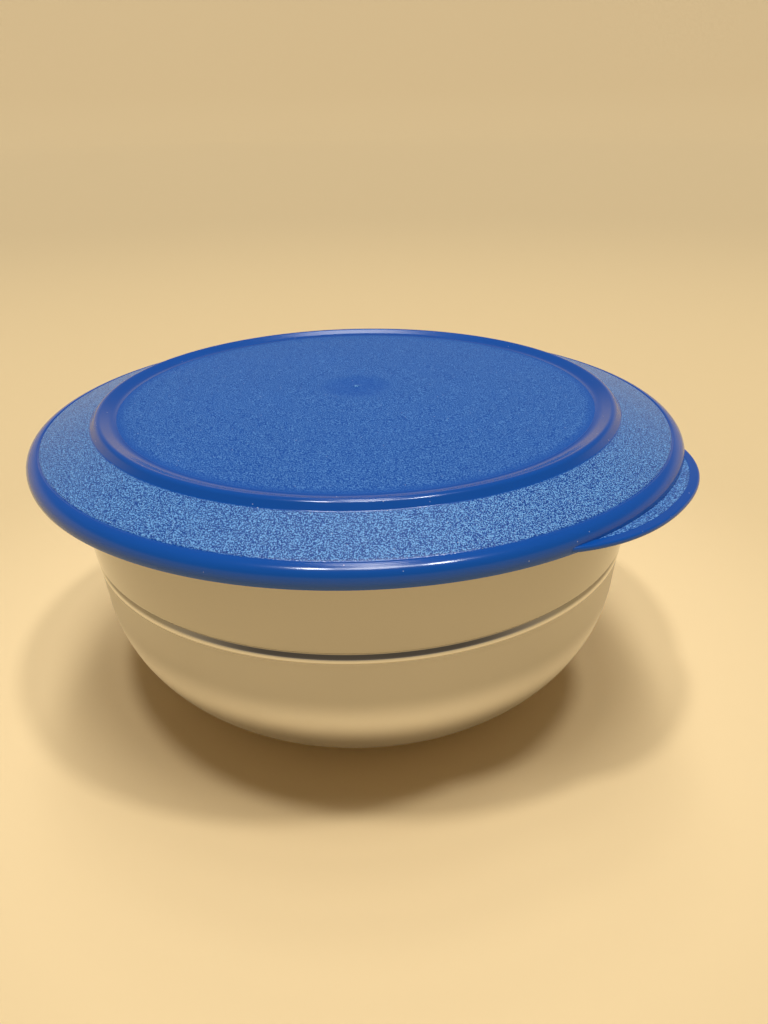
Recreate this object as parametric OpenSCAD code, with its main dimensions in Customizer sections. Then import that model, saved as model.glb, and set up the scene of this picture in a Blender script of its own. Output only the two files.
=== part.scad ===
// Lidded serving bowl: a drawn steel bowl with a rolled rim, closed by a moulded snap lid.
// The bowl's axis is Z and it stands on z = 0. All sizes are millimetres and degrees.

/* [Bowl] */
// Radius of the flat base
base_r = 59; // [50:0.5:75]
// Bend radius of the heel between base and wall, on the outer face
heel_r = 63.5; // [45:0.5:68]
// Outward lean of the wall from upright
wall_lean = 5; // [3:0.5:10]
// Height of the rim's flat top above the table
rim_h = 125.6; // [110:0.2:150]
// Thickness of the steel sheet
sheet = 0.8; // [0.6:0.1:0.9]

/* [Groove] */
// Height of the groove's upper edge, where the band ends, above the table
groove_top = 80.9; // [76:0.1:95]
// Depth of the groove, measured in from the band
groove_d = 2.1; // [1.8:0.05:2.4]
// Slope of the groove's steep upper side, from upright
groove_upper_slope = 60; // [55:1:64]
// Slope of the groove's gentle lower side, from upright
groove_lower_slope = 32; // [26:1:34]
// How far the band above the groove stands out from the wall below it
band_step = 0.6; // [0.4:0.1:1]
// How far the lip below the groove stands out from the wall
groove_lip = 0.4; // [0.2:0.1:0.6]
// Height over which the wall runs out to that lip
groove_lip_h = 4; // [3:0.5:6]

/* [Rim] */
// How far the rim reaches out from the band
rim_w = 13.5; // [11:0.1:18]
// Bend radius under the flange
flange_bend = 4; // [2:0.5:5]
// Outer radius of the rolled edge
curl_r = 2.4; // [1.8:0.1:2.6]

/* [Lid] */
// Wall thickness of the lid
lid_t = 1.8; // [1.4:0.1:2]
// Width of the sloping brim between ridge and bead
brim_w = 21.8; // [18:0.2:28]
// Slope of the brim
brim_slope = 17; // [10:1:20]
// Width of the stacking ridge at its foot
ridge_w = 9.2; // [8:0.2:12]
// Slope of the ridge towards the disc
ridge_in_slope = 22; // [18:1:28]
// Slope of the ridge towards the brim
ridge_out_slope = 50; // [45:1:60]
// How far the disc's edge lies above the inner edge of the brim
disc_rise = 1.1; // [0.4:0.1:1.6]
// How far the middle of the domed disc stands above its edge
disc_dome = 4.8; // [2:0.1:6]

/* [Snap edge] */
// Outer radius of the bead's round
bead_r = 5.7; // [5.2:0.1:6.5]
// How far the bead reaches below its middle
bead_drop = 2.2; // [1.8:0.1:2.6]
// Depth of the line between brim and bead
line_d = 0.35; // [0.2:0.05:0.5]
// Wall thickness of the plug that enters the bowl's mouth
plug_t = 1.4; // [1:0.1:1.8]
// How far the plug reaches below the rim
plug_drop = 8.5; // [6:0.5:14]
// Width of the rib that carries the lid on the rim
seat_w = 2.4; // [1.6:0.1:3]

/* [Tab] */
// How far the tab reaches out from the bead
tab_reach = 8.8; // [7:0.2:14]
// Half the angle that the tab spans along the bead
tab_half_angle = 22; // [18:1:25]
// Direction of the tab from +X
tab_angle = -39; // [-180:1:180]
// Thickness of the tab
tab_t = 2.2; // [1.6:0.1:2.4]
// Width of the smooth margin round the tab's grained field
tab_margin = 4; // [3:0.2:5]

/* [Fits] */
// Gap between the rolled rim and the lid's snap lip
lip_gap = 0.3; // [0.25:0.05:0.5]
// Gap between the bowl's wall and the plug
plug_gap = 0.4; // [0.3:0.05:0.6]
// Height of the bead's roof above the rim
roof_gap = 0.6; // [0.4:0.1:1]
// Room beside the rolled rim inside the bead
bead_room = 1.6; // [1.2:0.1:2]

/* [Hidden] */
$fn = 180;
chord_error = 0.01;

// Bowl: the wall's line meets the base plane at corner_r, a corner that the heel rounds off. The groove's
// lower side, drawn on to table height, ends at lower_side_foot_r, and the lip lies where it meets the wall.
corner_r = base_r + heel_r * tan((90 - wall_lean) / 2);
sheet_inner_bend = 0.8;
band_edge_bend = sheet + sheet_inner_bend;
groove_z = groove_top - groove_d / (tan(groove_upper_slope) - tan(wall_lean));
groove_r = band_r(groove_z) - groove_d;
groove_bend = 0.5;
lower_side_foot_r = groove_r + groove_z * tan(groove_lower_slope);
groove_lip_z = (lower_side_foot_r - corner_r - groove_lip) / (tan(groove_lower_slope) + tan(wall_lean));
groove_lip_bend = 2;
lip_foot_z = groove_lip_z - groove_lip_h;
lip_foot_bend = 6;
rim_r = band_r(rim_h) + rim_w;
curl_c = [rim_r - curl_r, rim_h - curl_r];
curl_turn = 270;

// Lid: placed from the bowl's rim, outwards and upwards
border_r = rim_r + bead_room - (bead_r - lid_t);
border_z = rim_h + roof_gap + lid_t;
bead_c = [border_r, border_z - bead_r];
bead_low = bead_c[1] - bead_drop;
bead_out_r = border_r + bead_r;
lip_h = 1.2;
ridge_out_r = border_r - brim_w;
ridge_in_r = ridge_out_r - ridge_w;
disc_z = brim_z(ridge_out_r) + disc_rise;
apex_run = (ridge_w * tan(ridge_out_slope) - disc_rise) / (tan(ridge_in_slope) + tan(ridge_out_slope));
apex = [ridge_in_r + apex_run, disc_z + apex_run * tan(ridge_in_slope)];
gate_dish_r = 17;
gate_dish_d = 0.3;
gate_r = 1.2;
disc_bend = 6;
dome_z = disc_z + disc_dome;
dome_corner_r = (ridge_in_r - disc_bend) / 2;
dome_slope = atan(disc_dome / (ridge_in_r - dome_corner_r));
dome_bend = (dome_corner_r - gate_r) / tan(dome_slope / 2);
lid_inner_bend = 0.6;
ridge_foot_bend = 1.2;
seat_inset = 1;
seat_out_r = curl_c[0] - seat_inset;
plug_low = rim_h - plug_drop;
line_w = 2 * line_d;

// Tab: full in the middle, running out along the bead at both ends
tab_fullness = 2.6;
tab_steps = 20;
tab_lift = 0.7;
tab_field_d = 0.3;

// Radius of the outer face at height z, of the wall below the groove and of the band above it
function wall_r(z) = corner_r + z * tan(wall_lean);
function band_r(z) = wall_r(z) + band_step;

// Height of the brim's top face at radius r
function brim_z(r) = border_z + (border_r - r) * tan(brim_slope);

// Radius of the tab's outline at an angle from its middle
function tab_r(a) = bead_out_r + tab_reach * (1 - abs(a / tab_half_angle) ^ tab_fullness);

// The place of a path point, without its bend radius
function place(p) = [p[0], p[1]];
function unit(v) = v / norm(v);
function left_of(v) = [-v[1], v[0]];
function backwards(list) = [for (i = [len(list) - 1 : -1 : 0]) list[i]];

// Points on an arc, close enough together that no chord lies more than chord_error inside the arc
function arc(centre, r, from, sweep) =
    let (steps = max(2, ceil(abs(sweep) / (2 * acos(1 - chord_error / r)))))
    [for (i = [0 : steps]) centre + r * [cos(from + sweep * i / steps), sin(from + sweep * i / steps)]];

// The arc of the bend at point i of a path, for a face that lies t to the left of the path
function bend(path, i, t) =
    let (p = place(path[i]))
    let (back = unit(place(path[i - 1]) - p))
    let (ahead = unit(place(path[i + 1]) - p))
    let (half = acos(back * ahead) / 2)
    let (turn = sign(left_of(-back) * ahead))
    let (centre = p + unit(back + ahead) * path[i][2] / sin(half))
    let (spoke = -turn * left_of(-back))
    arc(centre, path[i][2] - turn * t, atan2(spoke[1], spoke[0]), turn * (180 - 2 * half));

// A face of a bent sheet: t to the left of a path of [radius, height, bend radius] points
function face(path, t) =
    let (last = len(path) - 1)
    let (start_way = unit(place(path[1]) - place(path[0])))
    let (end_way = unit(place(path[last]) - place(path[last - 1])))
    concat(
        [place(path[0]) + t * left_of(start_way)],
        [for (i = [1 : 1 : last - 1]) each bend(path, i, t)],
        [place(path[last]) + t * left_of(end_way)]
    );

// A sheet with one face on the path. It lies t to the path's left, or to its right where t is negative.
module bent_sheet(path, t) {
    polygon(concat(face(path, 0), backwards(face(path, t))));
}

// The bowl's sheet follows its outer face from the middle of the base up to the flat of the flange.
// From there its edge is rolled out, down and back under the flange.
module bowl_sheet() {
    path = [
        [0, 0],
        [corner_r, 0, heel_r],
        [wall_r(lip_foot_z), lip_foot_z, lip_foot_bend],
        [wall_r(groove_lip_z) + groove_lip, groove_lip_z, groove_lip_bend],
        [groove_r, groove_z, groove_bend],
        [band_r(groove_top), groove_top, band_edge_bend],
        [band_r(rim_h - sheet), rim_h - sheet, flange_bend],
        [seat_out_r, rim_h - sheet]
    ];
    outside = concat(face(path, 0), arc(curl_c, curl_r - sheet, 90, -curl_turn));
    inside = concat(face(path, sheet), arc(curl_c, curl_r, 90, -curl_turn));
    polygon(concat(outside, backwards(inside)));
}

// The lid's wall follows its top face from the middle of the disc, over the ridge and down the brim
module lid_sheet() {
    bent_sheet([
        [0, dome_z],
        [dome_corner_r, dome_z, dome_bend],
        [ridge_in_r, disc_z, disc_bend],
        [apex[0], apex[1], lid_t + lid_inner_bend],
        [ridge_out_r, brim_z(ridge_out_r), ridge_foot_bend],
        [border_r, border_z]
    ], -lid_t);
}

// The bead hooks over the rolled rim and ends in an inward lip
module bead() {
    translate(bead_c) {
        intersection() {
            difference() {
                circle(bead_r);
                circle(bead_r - lid_t);
            }
            translate([-lid_t / 2, -bead_drop]) square(2 * bead_r);
        }
        intersection() {
            circle(bead_r);
            translate([rim_r + lip_gap - border_r, -bead_drop]) square([bead_r, lip_h]);
        }
    }
}

// The rib that carries the lid on the flat of the rim
module seat() {
    translate([seat_out_r - seat_w, rim_h])
        square([seat_w, brim_z(seat_out_r) - lid_t / 2 - rim_h]);
}

// The plug follows the band's lean and has a round tip
module plug() {
    face_inset = sheet / cos(wall_lean) + plug_gap;
    root_z = brim_z(band_r(rim_h)) - lid_t / 2;
    tip = [band_r(plug_low) - face_inset, plug_low];
    bent_sheet([tip, [band_r(root_z) - face_inset, root_z]], plug_t);
    translate(tip + [-cos(wall_lean), sin(wall_lean)] * plug_t / 2) circle(plug_t / 2);
}

module border_line() {
    translate([border_r, border_z])
        polygon([[0, -line_d], [line_w, line_d], [-line_w, line_d]]);
}

// Outline of the tab, drawn in by inset
module tab_outline(inset) {
    angles = [for (i = [-tab_steps : tab_steps]) tab_half_angle * i / tab_steps];
    polygon(concat([[0, 0]], [for (a = angles) (tab_r(a) - inset) * [cos(a), sin(a)]]));
}

// The tab starts in the bead's wall, and its grained field lies a little deeper than its margin
module tab() {
    rotate(tab_angle) translate([0, 0, bead_low + tab_lift]) difference() {
        linear_extrude(tab_t) difference() {
            tab_outline(0);
            circle(bead_out_r - lid_t / 2);
        }
        translate([0, 0, tab_t - tab_field_d]) linear_extrude(tab_t) tab_outline(tab_margin);
    }
}

// A shallow dish round the gate mark, which stays level with the top of the dome
module gate_dish() {
    dome_sag = dome_bend - sqrt(dome_bend ^ 2 - (gate_dish_r - gate_r) ^ 2);
    dish_rise = gate_dish_d - dome_sag;
    dish_r = (gate_dish_r ^ 2 + dish_rise ^ 2) / (2 * dish_rise);
    translate([0, 0, dome_z - gate_dish_d + dish_r]) sphere(dish_r);
}

module gate_mark() {
    translate([0, 0, dome_z - lid_t / 2]) cylinder(h = lid_t / 2, r = gate_r);
}

module bowl() {
    color([0.78, 0.76, 0.72]) rotate_extrude() bowl_sheet();
}

module lid() {
    color([0.16, 0.33, 0.65]) {
        difference() {
            rotate_extrude() difference() {
                union() {
                    lid_sheet();
                    bead();
                    seat();
                    plug();
                }
                border_line();
            }
            gate_dish();
        }
        gate_mark();
        tab();
    }
}

bowl();
lid();
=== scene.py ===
# %% [markdown]
# # A lidded serving bowl
# The object is two pieces: a drawn stainless steel bowl and a blue plastic lid that snaps over its rolled
# rim. Both are round about one axis, so almost everything here is one idea used twice: draw half of a
# section as a line and carry it round the axis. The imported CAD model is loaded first, because it says where
# everything sits.

import bpy
import numpy as np
from mathutils import Matrix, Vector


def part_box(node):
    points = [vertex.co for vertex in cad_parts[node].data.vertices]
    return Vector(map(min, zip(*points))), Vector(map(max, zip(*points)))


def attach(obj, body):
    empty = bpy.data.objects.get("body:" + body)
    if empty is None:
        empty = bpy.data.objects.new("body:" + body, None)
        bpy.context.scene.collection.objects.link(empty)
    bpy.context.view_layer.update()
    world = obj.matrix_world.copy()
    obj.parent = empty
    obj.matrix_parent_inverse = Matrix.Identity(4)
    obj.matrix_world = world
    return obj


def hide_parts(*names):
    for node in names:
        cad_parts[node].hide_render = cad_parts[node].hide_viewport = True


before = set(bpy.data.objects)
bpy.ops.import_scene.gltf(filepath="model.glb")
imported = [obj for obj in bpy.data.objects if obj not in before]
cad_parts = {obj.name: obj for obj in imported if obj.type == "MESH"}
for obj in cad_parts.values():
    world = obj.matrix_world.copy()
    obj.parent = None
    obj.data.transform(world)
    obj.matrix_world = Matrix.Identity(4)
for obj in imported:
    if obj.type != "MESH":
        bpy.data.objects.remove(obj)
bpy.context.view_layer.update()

print("CAD nodes:", sorted(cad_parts))

# %% [markdown]
# ## Sizes
# The outer sizes come from the CAD nodes, so the looks can't drift away from the solids. The rest are the
# sizes of the drawing itself, in millimetres: bend radii, wall thicknesses, and how far one feature lies
# from the next. Working in millimetres keeps the numbers readable, and one factor turns the finished points
# into metres.

# %% Sizes from the CAD nodes
MM = 0.001
rim_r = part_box("bowl")[1].x / MM
rim_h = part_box("bowl")[1].z / MM
bead_out_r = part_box("lid")[1].x / MM
print(f"rim {rim_r:.1f} mm out and {rim_h:.1f} mm up, lid {2 * bead_out_r:.1f} mm across")

# %% [markdown]
# ## Sections made of straights and bends
# A pressed sheet and a moulded wall are both drawn as a chain of straights whose corners are rounded. A
# corner with bend radius R starts R / tan(half the corner's angle) before the corner point, where an arc of
# radius R touches both straights. The other face of the same sheet is the same chain moved sideways, so its
# bends get larger or smaller by the thickness. Close to each bend the straight gets two extra points: they
# keep the smooth shading of the bend, and any value that changes at the bend, from leaking along the flat.

# %% Arcs
ARC_STEP, ARC_LEAST = 1.6, 6


def arc(centre, radius, start, sweep, least=ARC_LEAST, step=ARC_STEP):
    """Points on a circle: centre + radius * (cos a, sin a), for a from start over the sweep, in degrees."""
    steps = max(least, int(np.ceil(abs(np.radians(sweep)) * radius / step)))
    a = np.radians(start + sweep * np.linspace(0, 1, steps + 1))
    return np.array(centre) + radius * np.column_stack([np.cos(a), np.sin(a)])


print("a quarter circle of 10 mm has", len(arc((0, 0), 10, 0, 90)), "points")

# %% Bent lines
SUPPORTS = np.array([0.2, 0.7])
SHORT_STRAIGHT = 3 * SUPPORTS[-1]


def left_of(v):
    """A direction turned a quarter turn to the left."""
    return np.array([-v[1], v[0]])


def unit(v):
    """A direction of length one."""
    return v / np.hypot(*v)


def straight(a, b):
    """Two points just inside each end of the straight from a to b, closer together where it is short."""
    length = np.hypot(*(b - a))
    inset = SUPPORTS * min(1, length / SHORT_STRAIGHT)
    walked = np.append(inset, (length - inset)[::-1])
    return a + walked[:, None] * unit(b - a)


def bent(path, offset=0.0):
    """Rounds the corners of a chain of (radius, height, bend) points, moved to its left by the offset."""
    spots = [np.array(p[:2], float) for p in path]
    runs = [spots[0][None] + offset * left_of(unit(spots[1] - spots[0]))]
    for before, p, after, bend in zip(spots, spots[1:], spots[2:], [p[2] for p in path[1:-1]]):
        back, ahead = unit(before - p), unit(after - p)
        half = np.arccos(np.clip(back @ ahead, -1, 1)) / 2
        turn = np.sign(left_of(-back) @ ahead)
        spoke = -turn * left_of(-back)
        centre = p + unit(back + ahead) * bend / np.sin(half)
        start = np.degrees(np.arctan2(spoke[1], spoke[0]))
        curve = arc(centre, bend - turn * offset, start, turn * (180 - 2 * np.degrees(half)))
        runs += [straight(runs[-1][-1], curve[0]), curve]
    end = spots[-1] + offset * left_of(unit(spots[-1] - spots[-2]))
    return np.vstack(runs + [straight(runs[-1][-1], end), end[None]])


print("a square corner rounded by 1 mm has", len(bent([(0, 0), (5, 0, 1), (5, 5)])), "points")

# %% [markdown]
# ## Carrying a section round the axis
# A lathe does this in the workshop, and the Screw modifier does it in Blender. Here the ring of points is
# worked out directly: point k of a section at radius r goes to (r cos a, r sin a) with a = k turns of the
# circle. The two ends of the section lie on the axis, where the last ring closes on one point. It runs
# along the underside first, so that the faces look out. Each point of the section may also carry values,
# such as how polished it is, and those are written to the mesh as attributes for the materials.

# %% Surfaces of revolution
TURNS = 240


def revolve(section, **values):
    """Rings of (r cos a, r sin a, z) joined by quads, with a fan of triangles at both ends on the axis."""
    k = np.arange(TURNS)
    a = 2 * np.pi * k / TURNS
    r, z = section[1:-1, :1], section[1:-1, 1:]
    rings = np.stack([r * np.cos(a), r * np.sin(a), z + 0 * a], axis=-1).reshape(-1, 3)
    poles = np.column_stack([[0, 0], [0, 0], section[[0, -1], 1]])
    turn = np.roll(k, -1)
    low = TURNS * np.arange(len(section) - 3)[:, None]
    quads = np.stack([low + k, low + turn, low + TURNS + turn, low + TURNS + k], axis=-1).reshape(-1, 4)
    first, last = len(rings), len(rings) + 1
    top = TURNS * (len(section) - 3)
    fans = np.vstack([np.column_stack([turn, k, 0 * k + first]),
                      np.column_stack([top + k, top + turn, 0 * k + last])])
    spread = {name: np.append(np.repeat(v[1:-1], TURNS), v[[0, -1]]) for name, v in values.items()}
    return np.vstack([rings, poles]), quads.tolist() + fans.tolist(), spread


print(f"a section is carried round in {TURNS} steps of {360 / TURNS} degrees")

# %% Meshes


def make_piece(name, *surfaces):
    """One smooth mesh of all the surfaces, in metres, with their values as point attributes."""
    points, faces, start = [], [], 0
    for spots, corners, _ in surfaces:
        faces += [[start + c for c in face] for face in corners]
        points.append(spots * MM)
        start += len(spots)
    mesh = bpy.data.meshes.new(name)
    mesh.from_pydata(np.vstack(points).tolist(), [], faces)
    for key in surfaces[0][2]:
        layer = mesh.attributes.new(key, "FLOAT", "POINT")
        layer.data.foreach_set("value", np.concatenate([s[2][key] for s in surfaces]).astype(np.float32))
    mesh.polygons.foreach_set("use_smooth", np.ones(len(mesh.polygons), bool))
    mesh.update()
    piece = bpy.data.objects.new(name, mesh)
    bpy.context.collection.objects.link(piece)
    print(name, "has", sum(len(p.vertices) - 2 for p in mesh.polygons), "triangles")
    return piece


print("a millimetre is", MM, "in the meshes, which are in metres")

# %% [markdown]
# ## The bowl
# The real bowl is pressed from one disc of steel, so it is one sheet of even thickness: a flat base, a wide
# round heel, a wall that leans out, a rolled groove under a slightly wider band, and a flange whose edge is
# rolled over so that it is safe to hold. One path along the outer face holds all of it, and the inner face
# is the same path moved in by the sheet's thickness. The groove's steep upper side hides under the band's
# edge, and its gentle lower side looks up and mirrors what is dark.

# %% Bowl sizes
BASE_R, HEEL_R, WALL_LEAN, SHEET = 59.0, 63.5, np.radians(5), 0.8
GROOVE_TOP, GROOVE_D, BAND_STEP, GROOVE_LIP, GROOVE_LIP_H = 80.9, 2.1, 0.6, 0.4, 4.0
UPPER_SLOPE, LOWER_SLOPE = np.radians([60, 32])
GROOVE_BEND, BAND_EDGE_BEND, LIP_BEND, LIP_FOOT_BEND = 0.5, 1.6, 2.0, 6.0
FLANGE_BEND, CURL_R, CURL_TURN, CURL_STEPS, SEAT_INSET = 4.0, 2.4, 270, 24, 1.0

corner_r = BASE_R + HEEL_R * np.tan((np.pi / 2 - WALL_LEAN) / 2)
curl_centre = (rim_r - CURL_R, rim_h - CURL_R)
seat_out_r = curl_centre[0] - SEAT_INSET


def wall_r(z):
    """Radius of the wall's outer face at height z: a line leaning out from the corner under the heel."""
    return corner_r + z * np.tan(WALL_LEAN)


def band_r(z):
    """Radius of the band above the groove at height z: the wall's line, moved out by the step."""
    return wall_r(z) + BAND_STEP


groove_z = GROOVE_TOP - GROOVE_D / (np.tan(UPPER_SLOPE) - np.tan(WALL_LEAN))
groove_r = band_r(groove_z) - GROOVE_D
lip_reach = groove_r + groove_z * np.tan(LOWER_SLOPE) - GROOVE_LIP - corner_r
lip_z = lip_reach / (np.tan(LOWER_SLOPE) + np.tan(WALL_LEAN))
print(f"bowl: groove from {lip_z:.1f} to {GROOVE_TOP} mm up, deepest at {groove_z:.1f} mm")

# %% Bowl section
bowl_path = [
    (0, 0),
    (corner_r, 0, HEEL_R),
    (wall_r(lip_z - GROOVE_LIP_H), lip_z - GROOVE_LIP_H, LIP_FOOT_BEND),
    (wall_r(lip_z) + GROOVE_LIP, lip_z, LIP_BEND),
    (groove_r, groove_z, GROOVE_BEND),
    (band_r(GROOVE_TOP), GROOVE_TOP, BAND_EDGE_BEND),
    (band_r(rim_h - SHEET), rim_h - SHEET, FLANGE_BEND),
    (seat_out_r, rim_h - SHEET),
]
outside = np.vstack([bent(bowl_path), arc(curl_centre, CURL_R - SHEET, 90, -CURL_TURN, CURL_STEPS)])
inside = np.vstack([bent(bowl_path, SHEET), arc(curl_centre, CURL_R, 90, -CURL_TURN, CURL_STEPS)])
bowl_section = np.vstack([outside, inside[::-1]])
print("bowl section:", len(bowl_section), "points")

# %% [markdown]
# ## What the bowl's mesh carries
# The finish of the sheet changes from place to place, so the section carries three values. `polish` is 1
# where the outside was buffed bright, from the groove to the rim, and 0 on the satin part. Another value
# marks the lip under the groove and the round of the heel, where a paler colour is painted in as a highlight
# for the bright floor these curves mirror. `along` is the distance walked along the section, for the turning
# marks.

# %% Bowl piece
INSIDE_POLISH = 0.3
# The lip and the heel get a paler colour as a painted highlight: the bright floor that these curves mirror.
LIP_PAINTED_HIGHLIGHT, LIP_PAINTED_HIGHLIGHT_H = 0.6, 1.0
HEEL_PAINTED_HIGHLIGHT, HEEL_PAINTED_HIGHLIGHT_H, HEEL_PAINTED_HIGHLIGHT_Z = 0.85, 15.0, 43.0


def eased(t):
    """A step that starts and ends level: t * t * (3 - 2 t), with t kept between 0 and 1."""
    t = np.clip(t, 0, 1)
    return t * t * (3 - 2 * t)


section_r, section_z = bowl_section.T
is_outside = np.arange(len(bowl_section)) < len(outside)
polish = np.where(is_outside, section_z > lip_z - LIP_BEND / 2, INSIDE_POLISH)
polish[section_r > band_r(rim_h)] = 1
along = np.append(0, np.cumsum(np.hypot(*np.diff(bowl_section, axis=0).T))) * MM
# Painted highlight: a paler colour on the lip and on the round of the heel.
lip_worn = LIP_PAINTED_HIGHLIGHT * np.clip(2 - 2 * np.abs(section_z - lip_z) / LIP_PAINTED_HIGHLIGHT_H, 0, 1)
heel_worn = HEEL_PAINTED_HIGHLIGHT * eased(1 - np.abs(section_z - HEEL_PAINTED_HIGHLIGHT_Z) / HEEL_PAINTED_HIGHLIGHT_H)
worn = is_outside * np.maximum(lip_worn, heel_worn)
bowl = make_piece("bowl_sheet", revolve(bowl_section, polish=polish, along=along, worn=worn))

# %% [markdown]
# ## The lid
# The lid is one injection moulding with a wall of even thickness. From the middle outwards its top has the
# mark of the injection gate in a shallow dish, the gently domed disc, a ridge that stiffens it, the sloping
# brim, a fine line, and the round bead that snaps over the rim. Underneath are the rib that sits on the
# rim, the plug that enters the bowl's mouth, and the lip of the bead. Top and underside are drawn as two
# lines that meet at the bead's lower edge.

# %% Lid sizes
LID_T, BRIM_W, BRIM_SLOPE = 1.8, 21.8, np.radians(17)
RIDGE_W, RIDGE_IN, RIDGE_OUT, DISC_RISE, DISC_DOME = 9.2, np.radians(22), np.radians(50), 1.1, 4.8
DISC_BEND, APEX_BEND, RIDGE_FOOT_BEND, EDGE_BEND = 6.0, 2.4, 1.2, 0.3
BEAD_R, BEAD_DROP, ROOF_GAP, LIP_GAP, LIP_H = 5.7, 2.2, 0.6, 0.3, 1.2
PLUG_T, PLUG_DROP, PLUG_GAP, SEAT_W, LINE_D = 1.4, 8.5, 0.4, 2.4, 0.35
GATE_R, DISH_R, DISH_D = 1.2, 17.0, 0.3

border_r, border_z = bead_out_r - BEAD_R, rim_h + ROOF_GAP + LID_T
bead_centre = np.array([border_r, border_z - BEAD_R])
bead_low = bead_centre[1] - BEAD_DROP
ridge_out_r = border_r - BRIM_W
ridge_in_r = ridge_out_r - RIDGE_W


def brim_z(r):
    """Height of the brim's top face at radius r: a cone that falls from the ridge to the border line."""
    return border_z + (border_r - r) * np.tan(BRIM_SLOPE)


disc_z = brim_z(ridge_out_r) + DISC_RISE
dome_z = disc_z + DISC_DOME
dome_corner_r = (ridge_in_r - DISC_BEND) / 2
dome_slope = np.arctan(DISC_DOME / (ridge_in_r - dome_corner_r))
dome_bend = (dome_corner_r - GATE_R) / np.tan(dome_slope / 2)
dome_end_r = GATE_R + dome_bend * np.sin(dome_slope)


def dome(r):
    """Height of the disc at radius r: a very wide circle that starts level beside the gate mark."""
    return dome_z - dome_bend + np.sqrt(dome_bend ** 2 - np.maximum(r - GATE_R, 0) ** 2)


apex_run = (RIDGE_W * np.tan(RIDGE_OUT) - DISC_RISE) / (np.tan(RIDGE_IN) + np.tan(RIDGE_OUT))
ridge_path = [
    (ridge_in_r, disc_z, DISC_BEND),
    (ridge_in_r + apex_run, disc_z + apex_run * np.tan(RIDGE_IN), APEX_BEND),
    (ridge_out_r, brim_z(ridge_out_r), RIDGE_FOOT_BEND),
]
print(f"lid: disc {dome_z:.1f} mm up, ridge from {ridge_in_r:.1f} to {ridge_out_r:.1f} mm out")

# %% Lid top
GATE_FLAT, GATE_GAP, DISH_STEPS = 0.7, 0.2, 12
DISC_START, DISC_NEXT, DISC_STEPS = 0.5, 2.0, 36
LINE_ANGLE, EDGE_TURN, BEAD_STEPS = 84, 6, 32

dish = np.linspace(GATE_R + GATE_GAP, DISH_R, DISH_STEPS)
disc = np.append(DISH_R + DISC_START, np.linspace(DISH_R + DISC_NEXT, dome_end_r, DISC_STEPS))
disc_profile = np.vstack([
    [[0, dome_z], [GATE_FLAT * GATE_R, dome_z], [GATE_R, dome_z - DISH_D / 2]],
    np.column_stack([dish, dome(dish) - DISH_D * (1 - (dish / DISH_R) ** 2)]),
    np.column_stack([disc, dome(disc)]),
])
line_w = 2 * LINE_D
top_path = [
    tuple(disc_profile[-1]),
    *ridge_path,
    (border_r - line_w, brim_z(border_r - line_w), EDGE_BEND),
    (border_r, border_z - LINE_D, EDGE_BEND / 2),
    (border_r + line_w / 2, border_z - LINE_D / 2),
]
edge_angle = -np.degrees(np.arcsin(BEAD_DROP / BEAD_R))
bead_arc = arc(bead_centre, BEAD_R, LINE_ANGLE, edge_angle - LINE_ANGLE + EDGE_TURN, BEAD_STEPS)
lid_top = np.vstack([disc_profile, bent(top_path)[1:], bead_arc])
print("lid top:", len(lid_top), "points")

# %% Bead's lip and roof
LOWER_EDGE, SHELF_RISE, ROOF_RISE, ROOF_END, ROOF_STEPS = 0.4, 0.1, 0.3, 92, 16

lip_r = rim_r + LIP_GAP
roof_r = BEAD_R - LID_T
lip_top = bead_low + LIP_H
lip_out_r = border_r + np.sqrt(roof_r ** 2 - (lip_top - bead_centre[1]) ** 2)
edge_path = [
    tuple(bead_arc[-1]),
    (bead_arc[-1][0] - LOWER_EDGE / 2, bead_low, EDGE_BEND),
    (lip_r, bead_low, EDGE_BEND),
    (lip_r, lip_top, EDGE_BEND),
    (lip_out_r, lip_top + SHELF_RISE),
]
roof_start = np.degrees(np.arctan2(lip_top + ROOF_RISE - bead_centre[1], roof_r))
roof_arc = arc(bead_centre, roof_r, roof_start, ROOF_END - roof_start, ROOF_STEPS)
print(f"lip: {lip_r - rim_r:.1f} mm clear of the rim, {LIP_H} mm high")

# %% Lid underside
RIB_LEAD, BRIM_LEAD, RIDGE_LEAD, PLUG_FLAT, DISC_LEAD, UNDER_STEPS = 0.6, 3.0, 2.0, 0.1, 3.0, 14


def under_z(r):
    """Height of the brim's lower face at radius r: the top face, lowered by the wall measured upright."""
    return brim_z(r) - LID_T / np.cos(BRIM_SLOPE)


plug_inset = SHEET / np.cos(WALL_LEAN) + PLUG_GAP
plug_low = rim_h - PLUG_DROP
plug_low_r = band_r(plug_low) - plug_inset
plug_root_r = band_r(under_z(band_r(rim_h))) - plug_inset
plug_bend = (PLUG_T - PLUG_FLAT) / 2
seat_in_r = seat_out_r - SEAT_W
rib_path = [
    (seat_out_r + RIB_LEAD, under_z(seat_out_r + RIB_LEAD)),
    (seat_out_r, under_z(seat_out_r), EDGE_BEND),
    (seat_out_r, rim_h, EDGE_BEND),
    (seat_in_r, rim_h, EDGE_BEND),
    (seat_in_r, under_z(seat_in_r), EDGE_BEND),
    (plug_root_r, under_z(plug_root_r), EDGE_BEND),
    (plug_low_r, plug_low, plug_bend),
    (plug_low_r - PLUG_T, plug_low, plug_bend),
    (plug_root_r - PLUG_T, under_z(plug_root_r - PLUG_T), EDGE_BEND),
    (ridge_out_r + BRIM_LEAD, under_z(ridge_out_r + BRIM_LEAD)),
]
ridge_foot_r = ridge_out_r + RIDGE_LEAD
disc_path = [(dome_end_r, dome(dome_end_r)), *ridge_path, (ridge_foot_r, brim_z(ridge_foot_r))]
ridge_under = bent(disc_path, -LID_T)
under_r = np.linspace(dome_end_r - DISC_LEAD, 0, UNDER_STEPS)
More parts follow.
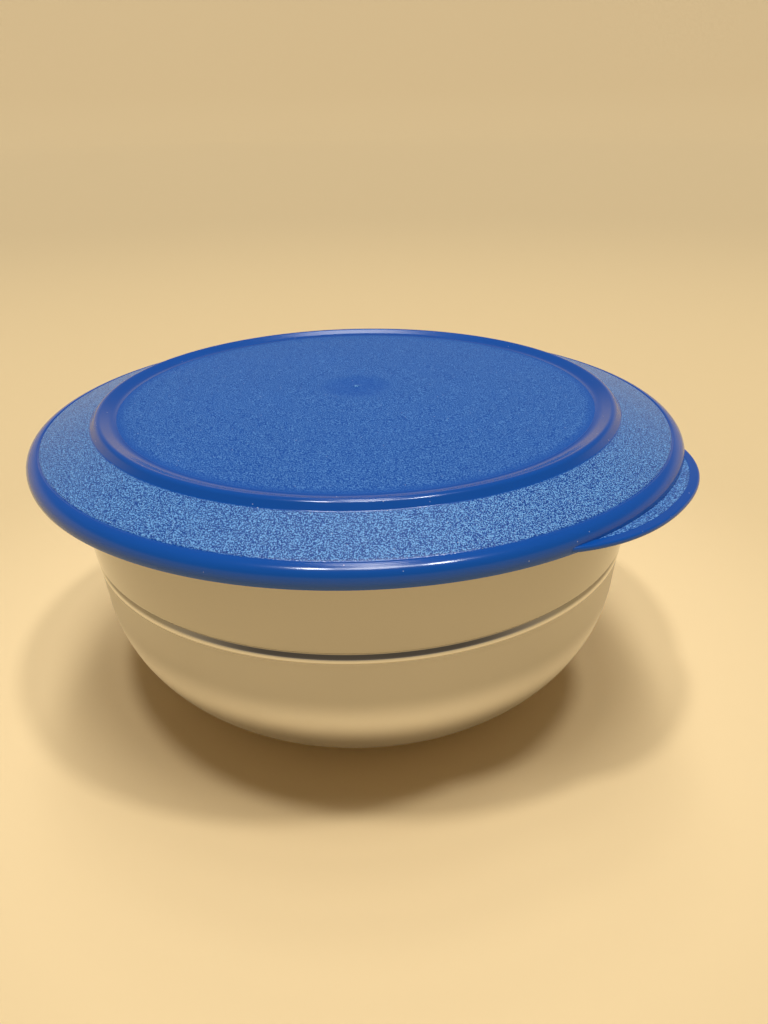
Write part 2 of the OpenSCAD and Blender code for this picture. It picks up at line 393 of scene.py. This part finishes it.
under_disc = np.column_stack([under_r, dome(under_r) - LID_T])
lid_under = np.vstack([bent(edge_path)[1:], roof_arc, bent(rib_path), ridge_under[::-1], under_disc])
lid_section = np.vstack([lid_under[::-1], lid_top[::-1]])
print("lid section:", len(lid_section), "points")

# %% [markdown]
# ## The lift tab
# One side of the bead carries a flat crescent to lift the lid by. Its outline is one formula in the angle
# from its middle: nearly level there, then running out along the bead at both ends. A section across the
# tab (top face, round edge, lower face) is carried along the bead, and its outer end follows the outline.
# The grained field lies a little deeper than the smooth margin round it. Two values go with the lid's mesh:
# `grain` is how strongly the mould was etched, and `matt` is how dull the surface is.

# %% Tab surface
TAB_REACH, TAB_HALF, TAB_ANGLE, TAB_T = 8.8, np.radians(22), np.radians(-39), 2.2
TAB_MARGIN, TAB_FULLNESS, TAB_LIFT, FIELD_D, TAB_EDGE = 4.0, 2.6, 0.7, 0.3, 0.9
TAB_STEPS, TAB_ACROSS, EDGE_STEPS, LOWER_SKIP, FIELD_STEP, TAB_SHARE = 160, 56, 14, 6, 0.5, 0.995
BRIM_MATT = 0.35


def tab_outline(a):
    """Radius of the outline at angle a: bead + reach * (1 - (a / half angle) to the power fullness)."""
    return bead_out_r + TAB_REACH * (1 - np.abs(a / TAB_HALF) ** TAB_FULLNESS)


def tab_surface():
    """A closed section (top, edge, lower face) at each angle; its inner end stays in the bead's wall."""
    a = TAB_SHARE * TAB_HALF * np.linspace(-1, 1, TAB_STEPS)[:, None]
    out, root, low = tab_outline(a), bead_out_r - LID_T / 2, bead_low + TAB_LIFT
    r_top = root + (out - TAB_EDGE - root) * np.linspace(0, 1, TAB_ACROSS)
    sunk = eased((out - TAB_MARGIN - r_top) / FIELD_STEP + 0.5)
    z_top = low + TAB_T - FIELD_D * sunk
    bow = np.radians(np.linspace(90, -90, EDGE_STEPS)[1:-1])
    r_edge = out - TAB_EDGE + TAB_EDGE * np.cos(bow)
    z_edge = low + TAB_T / 2 + TAB_T / 2 * np.sin(bow) + 0 * out
    r_low = r_top[:, ::-LOWER_SKIP]
    r = np.hstack([r_top, r_edge, r_low])
    z = np.hstack([z_top, z_edge, low + 0 * r_low])
    grain = np.hstack([sunk, 0 * r_edge, 0 * r_low]).ravel()
    points = np.stack([r * np.cos(a + TAB_ANGLE), r * np.sin(a + TAB_ANGLE), z], axis=-1)
    rows, columns = r.shape
    i, j = np.arange(rows - 1)[:, None] * columns, np.arange(columns)
    ahead = np.roll(j, -1)
    quads = np.stack([i + j, i + ahead, i + columns + ahead, i + columns + j], axis=-1).reshape(-1, 4)
    caps = [list(range(columns))[::-1], list(range((rows - 1) * columns, rows * columns))]
    return points.reshape(-1, 3), quads.tolist() + caps, {"grain": grain, "matt": BRIM_MATT * grain}


print(f"tab: {TAB_REACH} mm out from the bead, {2 * TAB_HALF * bead_out_r:.0f} mm along it")

# %% [markdown]
# ## Grain on the lid
# The mould was etched with a fine grain: fully on the brim, about half on the disc, less in the dish round
# the gate, and not at all on the ridge, the bead and the underside. The tip of the gate mark gets the grain
# fully as well, so its pale tops paint a highlight on it. The brim is only a little dull, while the whole
# disc is matt.

# %% Lid piece
DISC_EDGE, BRIM_EDGE, GRAIN_FADE = 2.0, 0.5, 0.5
DISC_GRAIN, DISH_GRAIN, DISH_POWER, GATE_PAINTED_HIGHLIGHT_GRAIN = 0.45, 0.2, 4, 1.0

r_top = lid_top[::-1, 0]
on_disc = DISC_GRAIN * np.clip((ridge_in_r - DISC_EDGE - r_top) / GRAIN_FADE, 0, 1)
in_dish = r_top < DISH_R
on_disc[in_dish] = DISH_GRAIN + (DISC_GRAIN - DISH_GRAIN) * (r_top[in_dish] / DISH_R) ** DISH_POWER
# The gate mark's tip gets full grain, so its pale tops paint a highlight on the nub.
on_disc[r_top <= GATE_R] = GATE_PAINTED_HIGHLIGHT_GRAIN
from_edges = np.minimum(r_top - ridge_out_r, border_r - r_top)
on_brim = np.clip((from_edges - BRIM_EDGE) / GRAIN_FADE + 1, 0, 1)
smooth_under = np.zeros(len(lid_under))
grain = np.append(smooth_under, np.maximum(on_disc, on_brim))
matt = np.append(smooth_under, np.maximum(on_disc > 0, BRIM_MATT * on_brim))
lid = make_piece("lid_moulding", revolve(lid_section, grain=grain, matt=matt), tab_surface())

# %% [markdown]
# ## Materials: the helpers
# A material is a small graph of nodes. One function adds a node, sets its options and fills its inputs,
# either with a value or with a link from another node. Short ones stand for what is used again and again: a
# value that the mesh carries, a cloudy pattern, a range and a mix of colours. Colours are written as sRGB
# hex, the way a paint chart gives them, and turned into the linear values that light is computed with.

# %% Colours and nodes


def linear(hex_colour):
    """sRGB hex to linear: c / 12.92 for dark values, else ((c + 0.055) / 1.055) to the power 2.4."""
    c = np.array([int(hex_colour[i:i + 2], 16) for i in (1, 3, 5)]) / 255
    return (*np.where(c <= 0.04045, c / 12.92, ((c + 0.055) / 1.055) ** 2.4).tolist(), 1.0)


def add(tree, kind, inputs=None, **settings):
    """Adds a node, sets its options and fills its inputs, each with a value or another node's output."""
    made = tree.nodes.new(kind)
    for key, value in settings.items():
        setattr(made, key, value)
    for key, value in (inputs or {}).items():
        if isinstance(value, bpy.types.NodeSocket):
            tree.links.new(value, made.inputs[key])
        else:
            made.inputs[key].default_value = value
    return made


def new_material(name):
    """An empty node material and its node tree."""
    material = bpy.data.materials.new(name)
    material.use_nodes = True
    material.node_tree.nodes.clear()
    return material, material.node_tree


print("middle grey is", round(linear("#808080")[0], 3), "in linear light")

# %% Patterns, ranges and mixes


def carried(tree, name):
    """The value that the mesh carries under this name."""
    return add(tree, "ShaderNodeAttribute", attribute_name=name).outputs["Fac"]


def per_mm(size):
    """The texture scale at which one feature is about size millimetres."""
    return 1 / (size * MM)


def clouds(tree, place, size, detail):
    """A cloudy pattern of features about size millimetres wide, with some finer layers of detail."""
    inputs = {"Vector": place, "Scale": per_mm(size), "Detail": detail}
    return add(tree, "ShaderNodeTexNoise", inputs).outputs["Fac"]


def ranged(tree, value, ends, span=(0.0, 1.0), **settings):
    """The value carried from its span to the ends: first end + share of the span * (last - first end)."""
    inputs = {"Value": value, "From Min": span[0], "From Max": span[1], "To Min": ends[0], "To Max": ends[1]}
    return add(tree, "ShaderNodeMapRange", inputs, **settings).outputs["Result"]


def mixed(tree, share, first, second, **settings):
    """The first colour turned into the second by the share."""
    inputs = {"Factor": share, "A": first, "B": second}
    return add(tree, "ShaderNodeMix", inputs, data_type="RGBA", **settings).outputs["Result"]


print("a 0.5 mm pattern has a scale of", per_mm(0.5))

# %% [markdown]
# ## Stainless steel
# The bowl is cold-rolled stainless steel. The band above the groove was buffed until it mirrors the table,
# and the body below was left satin by a fine abrasive, so it blurs the same reflection. The metal is one, but
# the band's colour is set darker than the satin's as painted shade, standing in for the darker surroundings
# that the band mirrors. The `polish` value steers both the colour and the roughness, and the lip and the heel
# get a paler colour as a painted highlight. Fine turning marks run round the sheet and stretch the blur
# across them, and wiping leaves soft, duller patches.

# %% Steel
# The first colour is the steel darkened as painted shade on the buffed band; the third is a paler painted
# highlight for the lip and heel.
POLISHED_PAINTED_SHADE_HEX, SATIN_HEX, PAINTED_HIGHLIGHT_HEX = "#B0ABA1", "#C1BCB2", "#FAF7F0"
SATIN_GRIT, TURNING_MARK, FINE_DETAIL, WIPE_PATCH, WIPE_DETAIL = 0.5, 0.35, 2.0, 30, 3.0
SATIN_ROUGH, POLISHED_ROUGH, WIPE_ROUGH = 0.38, 0.06, 0.06
SATIN_BUMP, POLISHED_BUMP, MARK_DEPTH, SATIN_BRUSHED, QUARTER_TURN = 0.12, 0.01, 0.1, 0.6, 0.25


def stainless_steel():
    """Metal whose roughness falls with polish; the bump is grit plus turning marks, most where satin."""
    material, tree = new_material("stainless_steel")
    place = add(tree, "ShaderNodeTexCoord").outputs["Object"]
    bright = carried(tree, "polish")
    marks = add(tree, "ShaderNodeTexNoise", {
        "W": carried(tree, "along"), "Scale": per_mm(TURNING_MARK), "Detail": FINE_DETAIL,
    }, noise_dimensions="1D")
    grit = clouds(tree, place, SATIN_GRIT, FINE_DETAIL)
    height = add(tree, "ShaderNodeMath", {0: grit, 1: marks.outputs["Fac"]}, operation="ADD")
    bump = add(tree, "ShaderNodeBump", {
        "Height": height.outputs[0],
        "Strength": ranged(tree, bright, (SATIN_BUMP, POLISHED_BUMP)),
        "Distance": MARK_DEPTH * MM,
    })
    wipe = clouds(tree, place, WIPE_PATCH, WIPE_DETAIL)
    base = ranged(tree, bright, (SATIN_ROUGH, POLISHED_ROUGH))
    rough = add(tree, "ShaderNodeMath", {0: wipe, 1: WIPE_ROUGH, 2: base}, operation="MULTIPLY_ADD")
    # From satin to polished the colour darkens: painted shade on the buffed band, not a second metal.
    metal = mixed(tree, bright, linear(SATIN_HEX), linear(POLISHED_PAINTED_SHADE_HEX))
    around = add(tree, "ShaderNodeTangent", direction_type="RADIAL", axis="Z")
    shader = add(tree, "ShaderNodeBsdfPrincipled", {
        "Base Color": mixed(tree, carried(tree, "worn"), metal, linear(PAINTED_HIGHLIGHT_HEX)),
        "Metallic": 1.0,
        "Roughness": rough.outputs[0],
        "Anisotropic": ranged(tree, bright, (SATIN_BRUSHED, 0.0)),
        "Anisotropic Rotation": QUARTER_TURN,
        "Tangent": around.outputs["Tangent"],
        "Normal": bump.outputs["Normal"],
    })
    add(tree, "ShaderNodeOutputMaterial", {"Surface": shader.outputs["BSDF"]})
    return material


bowl.data.materials.append(stainless_steel())
print("bowl_sheet wears", bowl.data.materials[0].name)

# %% [markdown]
# ## Moulded polypropylene
# The lid is polypropylene, coloured right through. Where the mould was polished the plastic is glossy, and
# where it was etched the surface is a field of tiny bumps. Their tops are painted pale as painted glints of
# the lamps, so the field looks lighter than the smooth parts, most of all on the brim, and the pits between
# them are painted darker as painted shade. The `grain` value steers the bumps, the painted shade and the
# painted glints, and the `matt` value the dullness. The bumps are about as coarse as the render can still
# show. A few specks of dust lie on the whole.

# %% Lid plastic
LID_HEX, PIT_SHADE_HEX, PAINTED_GLINT_HEX, DUST_HEX = "#0A50A8", "#063680", "#8CCCFF", "#C9D3E2"
GRAIN_SIZE, GRAIN_HEIGHT, GRAIN_DETAIL = 0.5, 0.25, 1.0
# Pits and tops of the grain: where they start and end in the pattern, how much they cover, their colour. The
# pits' darker colour is painted shade, and the tops' pale colour is painted glints.
PAINTED_SHADE_PITS, PAINTED_GLINT_TOPS = ((0.5, 0.42), 0.6, PIT_SHADE_HEX), ((0.5, 0.57), 0.65, PAINTED_GLINT_HEX)
TONE_PATCH, TONE_DETAIL, TONE_RANGE = 40, 2.0, (0.94, 1.06)
DUST_SPACING, DUST_EDGE, DUST_COVER = 5.0, (0.03, 0.05), 0.7
GLOSSY_ROUGH, MATT_ROUGH, GLOSSY_LEVEL, MATT_LEVEL, PLASTIC_IOR = 0.16, 0.65, 0.5, 0.2, 1.49


def polypropylene():
    """A dielectric whose bumps rise with grain and whose gloss falls with matt; dust is dots in cells."""
    material, tree = new_material("moulded_polypropylene")
    place = add(tree, "ShaderNodeTexCoord").outputs["Object"]
    etched, dull = carried(tree, "grain"), carried(tree, "matt")
    bumps = clouds(tree, place, GRAIN_SIZE, GRAIN_DETAIL)
    shade = ranged(tree, clouds(tree, place, TONE_PATCH, TONE_DETAIL), TONE_RANGE)
    skin = mixed(tree, 1.0, linear(LID_HEX), shade, blend_type="MULTIPLY")
    # Darken the pits as painted shade, then paint the tops pale as painted glints.
    for span, most, tone_hex in [PAINTED_SHADE_PITS, PAINTED_GLINT_TOPS]:
        level = ranged(tree, bumps, (0.0, most), span)
        share = add(tree, "ShaderNodeMath", {0: level, 1: etched}, operation="MULTIPLY")
        skin = mixed(tree, share.outputs[0], skin, linear(tone_hex))
    specks = add(tree, "ShaderNodeTexVoronoi", {"Vector": place, "Scale": per_mm(DUST_SPACING)})
    dust = ranged(tree, specks.outputs["Distance"], (DUST_COVER, 0.0), DUST_EDGE)
    bump = add(tree, "ShaderNodeBump", {"Height": bumps, "Strength": etched, "Distance": GRAIN_HEIGHT * MM})
    shader = add(tree, "ShaderNodeBsdfPrincipled", {
        "Base Color": mixed(tree, dust, skin, linear(DUST_HEX)),
        "Roughness": ranged(tree, dull, (GLOSSY_ROUGH, MATT_ROUGH)),
        "IOR": PLASTIC_IOR,
        "Specular IOR Level": ranged(tree, dull, (GLOSSY_LEVEL, MATT_LEVEL)),
        "Normal": bump.outputs["Normal"],
    })
    add(tree, "ShaderNodeOutputMaterial", {"Surface": shader.outputs["BSDF"]})
    return material


lid.data.materials.append(polypropylene())
print("lid_moulding wears", lid.data.materials[0].name)

# %% [markdown]
# ## Putting the pieces on the frame
# Each piece stands for one CAD node and rides on that node's body, so when the lid's joint lifts the lid,
# the blue moulding goes with it.

# %% Ride on the bodies
for piece, node_name, slot in [(bowl, "bowl", "steel"), (lid, "lid", "lid_plastic")]:
    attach(piece, node_name)
    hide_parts(node_name)

# %% [markdown]
# ## Floor
# Polished steel shows its surroundings, so the floor is part of the look. It is matt paper, pale and warm
# round the bowl, and its colour darkens slowly outwards as painted shade, which leaves a painted pool of
# light round the bowl. It rises gently far away, so that no edge of it shows.

# %% Floor shape
FLOOR_R, SWEEP_R, RISE, RISE_LENGTH, FLOOR_STEP, FLOOR_TURNS = 5000.0, 2000.0, 30, 1800.0, 50.0, 96

sweep = arc((FLOOR_R, SWEEP_R), SWEEP_R, -90, RISE, step=FLOOR_STEP)
far_end = sweep[-1] + RISE_LENGTH * np.array([np.cos(np.radians(RISE)), np.sin(np.radians(RISE))])
floor_section = np.vstack([[[0, 0], [FLOOR_R / 2, 0]], sweep, far_end[None]])


def floor_surface():
    """The floor's line carried round the axis once, open at its outer end."""
    k = np.arange(FLOOR_TURNS)
    a = 2 * np.pi * k / FLOOR_TURNS
    r, z = floor_section[:, :1], floor_section[:, 1:]
    points = np.stack([r * np.cos(a), r * np.sin(a), z + 0 * a], axis=-1).reshape(-1, 3)
    low, turn = FLOOR_TURNS * np.arange(len(floor_section) - 1)[:, None], np.roll(k, -1)
    quads = np.stack([low + k, low + FLOOR_TURNS + k, low + FLOOR_TURNS + turn, low + turn], axis=-1)
    return points, quads.reshape(-1, 4).tolist(), {}


floor = make_piece("floor", floor_surface())

# %% Floor paper
# The darker tones round and far from the bowl are painted shade, leaving a painted pool of light near it.
FLOOR_HEX, AROUND_PAINTED_SHADE_HEX, FAR_PAINTED_SHADE_HEX, PAPER_ROUGH = "#F6DAA6", "#E6CB98", "#CFB78A", 0.8
AROUND_FADE, FAR_FADE = (150.0, 330.0), (300.0, 1800.0)

material, tree = new_material("matt_floor")
place = add(tree, "ShaderNodeTexCoord").outputs["Object"]
away = add(tree, "ShaderNodeVectorMath", {0: place}, operation="LENGTH").outputs["Value"]
paper = linear(FLOOR_HEX)
for (near, far), tone_hex in [(AROUND_FADE, AROUND_PAINTED_SHADE_HEX), (FAR_FADE, FAR_PAINTED_SHADE_HEX)]:
    fade = ranged(tree, away, (0.0, 1.0), (near * MM, far * MM), interpolation_type="SMOOTHSTEP")
    paper = mixed(tree, fade, paper, linear(tone_hex))
shader = add(tree, "ShaderNodeBsdfPrincipled", {"Base Color": paper, "Roughness": PAPER_ROUGH})
add(tree, "ShaderNodeOutputMaterial", {"Surface": shader.outputs["BSDF"]})
floor.data.materials.append(material)
print("the floor wears", material.name)

# %% [markdown]
# ## Light
# A long soft box hangs overhead, drawn as four suns one behind the other, and leaves a long highlight on
# the bead. A lamp at each side gives the shadow its soft lobes, and the dim sky fills it. The sky just
# above the floor's end has the floor's tone, so that no horizon shows.

# %% Suns
# Each has a name, its angle to the right and to the front of upright, its width in degrees, and its strength.
SUNS = [
    ("soft_box", 3, 9, 14, 0.72),
    ("soft_box_middle", 2, -5, 10, 0.24),
    ("soft_box_back", 1, -17, 10, 0.26),
    ("soft_box_end", 0, -29, 10, 0.16),
    ("lamp_left", -10, 9, 5, 0.72),
    ("lamp_right", 16, 9, 5, 0.72),
]

for name, to_right, to_front, width, strength in SUNS:
    lamp = bpy.data.lights.new(name, "SUN")
    lamp.energy = strength
    lamp.angle = np.radians(width)
    sun = bpy.data.objects.new(name, lamp)
    sun.rotation_euler = (np.radians(to_front), np.radians(to_right), 0)
    bpy.context.collection.objects.link(sun)
print(len(SUNS), "suns")

# %% Sky
SKY_HEX, SKY_LEVEL, HORIZON_LEVEL, HORIZON_TOP = "#FFEDD6", 0.15, 0.95, 25

world = bpy.data.worlds.new("sky")
world.use_nodes = True
bpy.context.scene.world = world
tree = world.node_tree
direction = add(tree, "ShaderNodeTexCoord").outputs["Generated"]
upwards = add(tree, "ShaderNodeSeparateXYZ", {"Vector": direction}).outputs["Z"]
horizon = np.arctan2(far_end[1], far_end[0])
climb_span = np.sin(horizon), np.sin(np.radians(HORIZON_TOP))
climb = ranged(tree, upwards, (0.0, 1.0), climb_span, interpolation_type="SMOOTHSTEP")
sky_colour = mixed(tree, climb, linear(FAR_PAINTED_SHADE_HEX), linear(SKY_HEX))
sky_level = ranged(tree, climb, (HORIZON_LEVEL, SKY_LEVEL))
for key, value in [("Color", sky_colour), ("Strength", sky_level)]:
    tree.links.new(value, tree.nodes["Background"].inputs[key])
bpy.context.scene.view_settings.view_transform = "Standard"
print(f"sky of {SKY_LEVEL}, and {HORIZON_LEVEL} at the horizon, {np.degrees(horizon):.1f} degrees up")

# %% [markdown]
# ## Camera
# The view was found by fitting a camera to the lid's circles in the picture: how far it stands from the
# axis, how high above the lid's border line, and its three turns. A tall picture puts the sensor's long
# side upright, so the lens length is the focal length in pixels times the sensor's 36 mm over the picture's
# 1024 rows.

# %% Camera
FOCAL_PX, PICTURE_ROWS, SENSOR = 846.7, 1024, 36.0
CAMERA_BACK, CAMERA_UP = 374.0, 133.5
YAW, PITCH, ROLL = np.radians([1.78, 26.45, -0.93])

forward = np.array([np.sin(YAW) * np.cos(PITCH), np.cos(YAW) * np.cos(PITCH), -np.sin(PITCH)])
level = np.array([np.cos(YAW), -np.sin(YAW), 0])
upright = np.cross(level, forward)
right = level * np.cos(ROLL) + upright * np.sin(ROLL)
up = upright * np.cos(ROLL) - level * np.sin(ROLL)
camera = bpy.data.objects.new("camera", bpy.data.cameras.new("camera"))
camera.data.sensor_width = SENSOR
camera.data.lens = FOCAL_PX / PICTURE_ROWS * SENSOR
placing = np.eye(4)
placing[:3, :3] = np.column_stack([right, up, -forward])
placing[:3, 3] = np.array([0, -CAMERA_BACK, border_z + CAMERA_UP]) * MM
camera.matrix_world = Matrix(placing.tolist())
bpy.context.collection.objects.link(camera)
bpy.context.scene.camera = camera
print(f"lens {camera.data.lens:.1f} mm")
